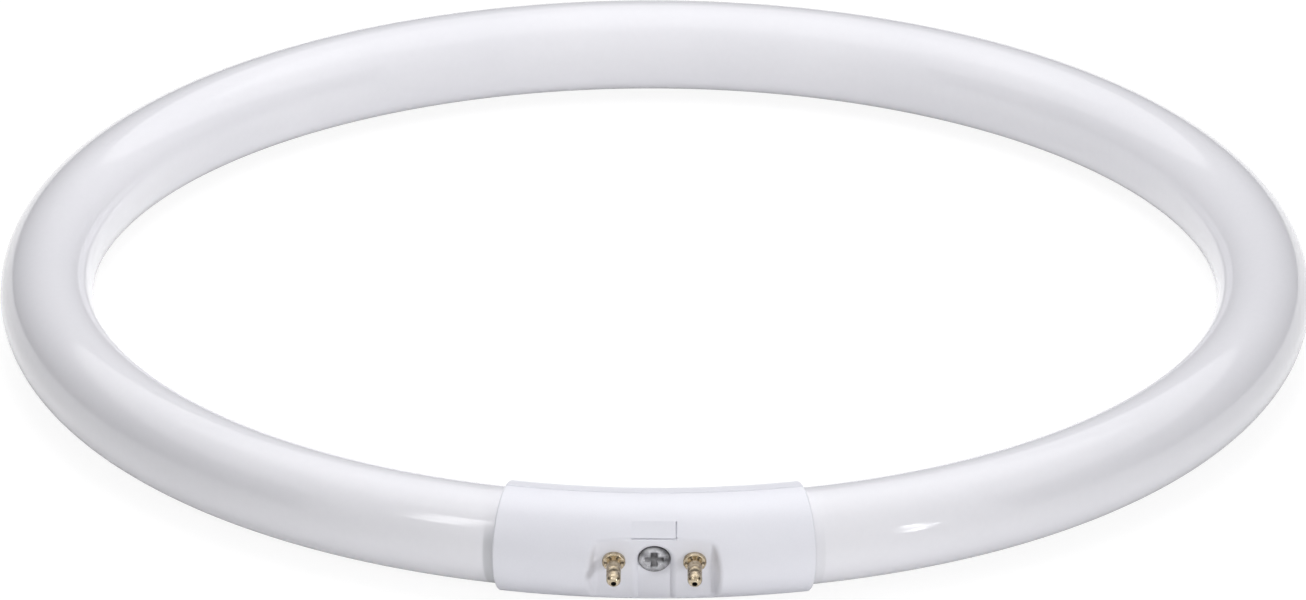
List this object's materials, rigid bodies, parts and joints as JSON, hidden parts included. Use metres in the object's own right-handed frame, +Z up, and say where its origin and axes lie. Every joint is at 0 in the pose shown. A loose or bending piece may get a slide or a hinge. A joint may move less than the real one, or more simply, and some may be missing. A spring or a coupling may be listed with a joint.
{
  "type": "circular fluorescent tube",
  "caption": "Ring-shaped fluorescent tube: white-coated glass bent to a circle, its ends joined by a moulded base with brass contact pins and a clamping screw.",
  "frame": {"origin": "middle of the footprint, on the surface that the lamp lies on", "axes": "+Z up along the ring's axis; the base and its visible pins face -Y; +X to the right as seen from there"},
  "size_m": [0.225, 0.2294, 0.0181],
  "materials": {
    "coated_glass": "glossy clear glass over a white coating",
    "base_plastic": "white moulded plastic, satin to gloss",
    "pin_brass": "polished",
    "screw_steel": "zinc plated",
    "lead_wire": "tinned"
  },
  "bodies": {
    "root": {"glass_tube": "coated_glass", "base_outer_shell": "base_plastic", "base_inner_shell": "base_plastic", "base_screw": "screw_steel", "pin_outer_left": "pin_brass", "lead_outer_left": "lead_wire", "pin_outer_right": "pin_brass", "lead_outer_right": "lead_wire", "pin_inner_left": "pin_brass", "lead_inner_left": "lead_wire", "pin_inner_right": "pin_brass", "lead_inner_right": "lead_wire"}
  },
  "joints": []
}
